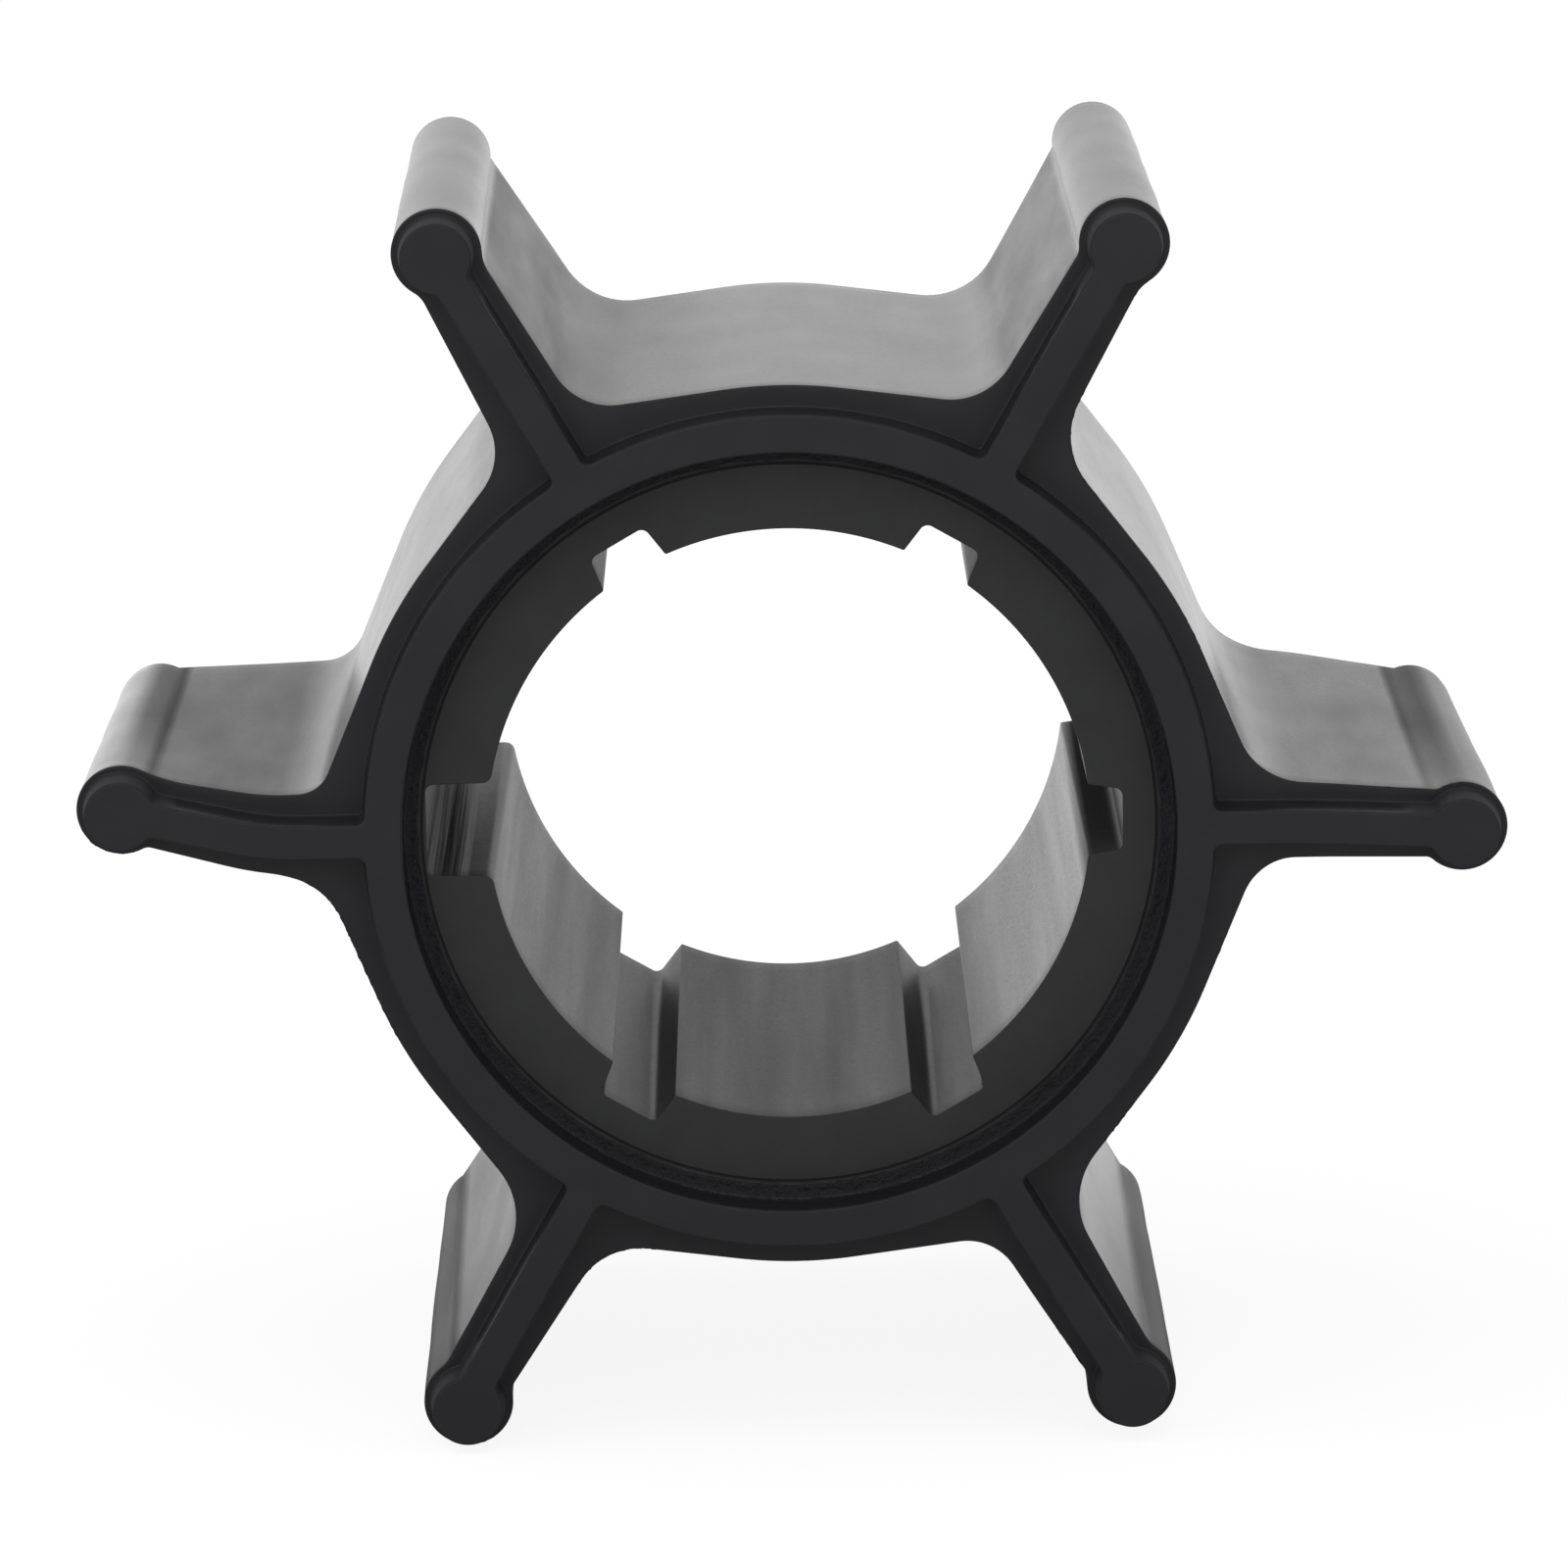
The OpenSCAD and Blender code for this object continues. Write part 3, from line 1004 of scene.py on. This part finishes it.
def plastic_roughness(nodes, surface, streaks, grain):
    """Roughness of the insert: shiny lands at both sides of the bore, and dull walls in the level slots."""
    dull = nodes.total(nodes.ranged(streaks, *PLASTIC_STREAK_DULL), nodes.ranged(grain, *PLASTIC_GRAIN_DULL))
    on_side_land = nodes.product(
        nodes.ramp(surface.from_axis, ON_LAND), nodes.ramp(nodes.unsigned(surface.across), ASIDE)
    )
    dull = nodes.maths("SUBTRACT", dull, nodes.product(on_side_land, nodes.ramp(surface.across, LAND_SHINE)))
    right_slot = nodes.product(
        nodes.ramp(surface.across, RIGHT_SLOT_DULL), nodes.ramp(surface.across, RIGHT_SLOT_END)
    )
    level_slots = nodes.total(right_slot, nodes.ramp(surface.across, KEYWAY_DULL))
    return nodes.total(dull, nodes.product(level_slots, surface.wall), nodes.ranged(surface.wall, *FACE_DULL))


def plastic_relief(nodes, surface, streaks, grain):
    """Streaks along the bore, the grain, and coarse lines drawn along the keyway's walls."""
    drawn = nodes.drawn_noise(surface.place, *KEYWAY_DRAWN)
    in_keyway = nodes.product(nodes.ramp(surface.across, IN_KEYWAY), surface.wall)
    relief = nodes.bump(nodes.product(streaks, surface.wall), *PLASTIC_STREAK_RELIEF)
    relief = nodes.bump(grain, *PLASTIC_GRAIN_RELIEF, relief)
    return nodes.bump(nodes.product(drawn, in_keyway), *KEYWAY_RELIEF, relief)


def plastic_finish(finishes):
    """Filled black plastic: dull on its faces, with drawn lines along the bore."""
    material, nodes, surface = new_finish("filled plastic")
    grain = nodes.noise(surface.place, *PLASTIC_GRAIN)
    mottle = nodes.noise(surface.place, *PLASTIC_MOTTLE)
    streaks = nodes.drawn_noise(surface.place, *PLASTIC_STREAKS)
    shader = nodes.add("ShaderNodeBsdfPrincipled", {
        "Base Color": nodes.mix(
            nodes.ranged(mottle, *PATCHES), paint(finishes.plastic), paint(finishes.plastic_patches)
        ),
        "Roughness": plastic_roughness(nodes, surface, streaks, grain),
        "IOR": GLOSS_INDEX,
        "Specular IOR Level": PLASTIC_SPECULAR,
        "Normal": plastic_relief(nodes, surface, streaks, grain),
    })
    nodes.add("ShaderNodeOutputMaterial", {"Surface": shader.outputs[0]})
    return material


WHITE = (1.0, 1.0, 1.0, 1.0)
# Half the floor's width
FLOOR_HALF = 3.0
# The floor's own glow where the camera sees it, and over Y, in millimetres, where a gloss mirrors it: from
# in front of the part to beneath it, and from beneath it to behind. Where a gloss mirrors the floor, its glow
# is painted darker near and beneath the part: a painted shadow of the part that only its reflections show
FLOOR_GLOW = 0.9
GLOSS_FLOOR_SHADE_BEFORE = (-200.0, -20.0, 0.5, 0.2)
GLOSS_FLOOR_SHADE_BEYOND = (0.0, 60.0, 0.2, 0.95)
BENEATH = (-20.0, 0.0, 0.0, 1.0)
# Strength of the surroundings as light, as seen, and as a gloss mirrors them: dimmer overhead and in front
# than behind the part, and a little dimmer at the right, over the direction's Y and X
AMBIENT_LIGHT = 0.6
AS_SEEN = 1.0
MIRRORED_DEPTH = (0.2, 0.9, 0.3, 1.0)
MIRRORED_SIDE = (-0.15, 0.15, 1.0, 0.9)


def seen_directly(nodes, rays):
    """1 for rays from the camera, a mirror or a glass, and 0 for light that falls on a surface."""
    direct = nodes.maths("MAXIMUM", rays["Is Camera Ray"], rays["Is Glossy Ray"])
    return nodes.maths("MAXIMUM", direct, rays["Is Transmission Ray"])


def floor_finish(finishes):
    """A pale floor that shows white to the camera and keeps the part's shadow, and whose glow in the part's gloss
    holds a painted shadow near and beneath the part.
    """
    material = bpy.data.materials.new("pale floor")
    material.use_nodes = True
    nodes = Nodes(material.node_tree)
    rays = nodes.add("ShaderNodeLightPath").outputs
    depth = nodes.axes(nodes.add("ShaderNodeNewGeometry").outputs["Position"])["Y"]
    # Painted shadow: the floor's glow, as a gloss mirrors it, is dimmed near and beneath the part
    floor_gloss_with_painted_shadow = nodes.blend(
        nodes.ramp(depth, BENEATH), nodes.ramp(depth, GLOSS_FLOOR_SHADE_BEFORE), nodes.ramp(depth, GLOSS_FLOOR_SHADE_BEYOND)
    )
    strength = nodes.blend(rays["Is Glossy Ray"], FLOOR_GLOW, floor_gloss_with_painted_shadow)
    glow = nodes.add("ShaderNodeEmission", {"Color": WHITE, "Strength": strength}).outputs[0]
    pale = nodes.add("ShaderNodeBsdfDiffuse", {"Color": paint(finishes.floor)}).outputs[0]
    faint = nodes.add("ShaderNodeBsdfDiffuse", {"Color": paint(finishes.floor_shown)}).outputs[0]
    shown = nodes.add("ShaderNodeAddShader", {0: faint, 1: glow}).outputs[0]
    both = nodes.add("ShaderNodeMixShader", {0: seen_directly(nodes, rays), 1: pale, 2: shown}).outputs[0]
    nodes.add("ShaderNodeOutputMaterial", {"Surface": both})
    return material


def add_floor(scene):
    """The floor, at the foot of the part."""
    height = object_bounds()[0].z
    half = FLOOR_HALF
    corners = [(x, y, height) for x, y in ((-half, -half), (half, -half), (half, half), (-half, half))]
    mesh = bpy.data.meshes.new("floor")
    mesh.from_pydata(corners, [], [(0, 1, 2, 3)])
    mesh.materials.append(floor_finish(scene.finishes))
    floor = bpy.data.objects.new("floor", mesh)
    scene.collection.objects.link(floor)
    floor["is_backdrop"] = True


def add_lamp(scene, name, place, size, power):
    """A soft square lamp aimed at the part."""
    data = bpy.data.lights.new(name, "AREA")
    data.size = size
    data.energy = power
    lamp = bpy.data.objects.new(name, data)
    lamp.location = place
    lamp.rotation_euler = (-Vector(place)).to_track_quat("-Z", "Y").to_euler()
    scene.collection.objects.link(lamp)


def add_surroundings(scene):
    """A white world all round the part."""
    world = bpy.data.worlds.new("white surroundings")
    scene.world = world
    world.use_nodes = True
    nodes = Nodes(world.node_tree)
    rays = nodes.add("ShaderNodeLightPath").outputs
    towards = nodes.axes(nodes.add("ShaderNodeTexCoord").outputs["Generated"])
    mirrored_world = nodes.product(
        nodes.ranged(towards["Y"], *MIRRORED_DEPTH), nodes.ranged(towards["X"], *MIRRORED_SIDE)
    )
    shown = nodes.blend(rays["Is Glossy Ray"], AS_SEEN, mirrored_world)
    strength = nodes.blend(seen_directly(nodes, rays), AMBIENT_LIGHT, shown)
    sky = nodes.add("ShaderNodeBackground", {"Color": WHITE, "Strength": strength})
    nodes.add("ShaderNodeOutputWorld", {"Surface": sky.outputs[0]})


# The camera stands where the photograph's did: its turn and height about the part, its tilt, its distance
# and how far it is moved across its own view
CAMERA_TURN = math.radians(0.122)
CAMERA_HEIGHT = math.radians(12.258)
CAMERA_ROLL = math.radians(-0.923)
CAMERA_DISTANCE = 333.273 * MM
CAMERA_SIDE = -0.116 * MM
CAMERA_LIFT = -0.967 * MM
# Focal length and width of the picture, in the millimetres that a camera's data takes
CAMERA_LENS = 212.32
CAMERA_SENSOR = 36.0
# The nearest and the furthest that it sees
CAMERA_NEAR = 0.01
CAMERA_FAR = 20.0


def camera_matrix():
    """The camera's place and turn in the part's frame."""
    back = Vector((
        -math.sin(CAMERA_TURN) * math.cos(CAMERA_HEIGHT),
        -math.cos(CAMERA_TURN) * math.cos(CAMERA_HEIGHT),
        math.sin(CAMERA_HEIGHT),
    ))
    right = Vector((math.cos(CAMERA_TURN), -math.sin(CAMERA_TURN), 0.0))
    up = back.cross(right)
    rolled_right = right * math.cos(CAMERA_ROLL) + up * math.sin(CAMERA_ROLL)
    rolled_up = up * math.cos(CAMERA_ROLL) - right * math.sin(CAMERA_ROLL)
    matrix = Matrix((rolled_right, rolled_up, back)).transposed().to_4x4()
    matrix.translation = rolled_right * CAMERA_SIDE + rolled_up * CAMERA_LIFT + back * CAMERA_DISTANCE
    return matrix


def add_camera(scene):
    """The camera, with the photograph's view."""
    data = bpy.data.cameras.new("camera")
    data.lens = CAMERA_LENS
    data.sensor_width = CAMERA_SENSOR
    data.clip_start = CAMERA_NEAR
    data.clip_end = CAMERA_FAR
    camera = bpy.data.objects.new("camera", data)
    camera.matrix_world = camera_matrix()
    scene.collection.objects.link(camera)
    scene.camera = camera


class IMPELLER_OT_stage(bpy.types.Operator):
    """Add the floor, the lamps, the white surroundings and the camera"""

    bl_idname = "impeller.stage"
    bl_label = "Stage"
    bl_options = {"REGISTER", "UNDO"}

    def execute(self, context):
        scene = context.scene
        add_floor(scene)
        add_lamp(scene, "key lamp", place=(-0.25, -0.2, 0.5), size=1.0, power=3.0)
        add_lamp(scene, "fill lamp", place=(0.4, -0.3, 0.25), size=1.0, power=1.0)
        add_surroundings(scene)
        add_camera(scene)
        scene.view_settings.view_transform = "Standard"
        return {"FINISHED"}


class IMPELLER_PT_panel(bpy.types.Panel):
    """The impeller's sizes, finishes and steps"""

    bl_idname = "IMPELLER_PT_panel"
    bl_label = "Impeller"
    bl_space_type = "VIEW_3D"
    bl_region_type = "UI"
    bl_category = "Impeller"

    def draw(self, context):
        for title, group in (
            ("Rubber", context.scene.rubber_sizes),
            ("Insert", context.scene.insert_sizes),
            ("Finishes", context.scene.finishes),
        ):
            box = self.layout.box()
            box.label(text=title)
            for name in group.__annotations__:
                box.prop(group, name)
        for operator in OPERATORS:
            self.layout.operator(operator.bl_idname)


GROUPS = {"rubber_sizes": RubberSizes, "insert_sizes": InsertSizes, "finishes": Finishes}
OPERATORS = (
    IMPELLER_OT_moulding,
    IMPELLER_OT_burr,
    IMPELLER_OT_insert,
    IMPELLER_OT_film,
    IMPELLER_OT_stage,
)
CLASSES = (*GROUPS.values(), *OPERATORS, IMPELLER_PT_panel)


def register():
    for cls in CLASSES:
        bpy.utils.register_class(cls)
    for name, group in GROUPS.items():
        setattr(bpy.types.Scene, name, bpy.props.PointerProperty(type=group))


def unregister():
    for name in GROUPS:
        delattr(bpy.types.Scene, name)
    for cls in reversed(CLASSES):
        bpy.utils.unregister_class(cls)


def main():
    register()
    bpy.ops.impeller.moulding()
    bpy.ops.impeller.burr()
    bpy.ops.impeller.insert()
    bpy.ops.impeller.film()
    bpy.ops.impeller.stage()


if __name__ == "__main__":
    main()
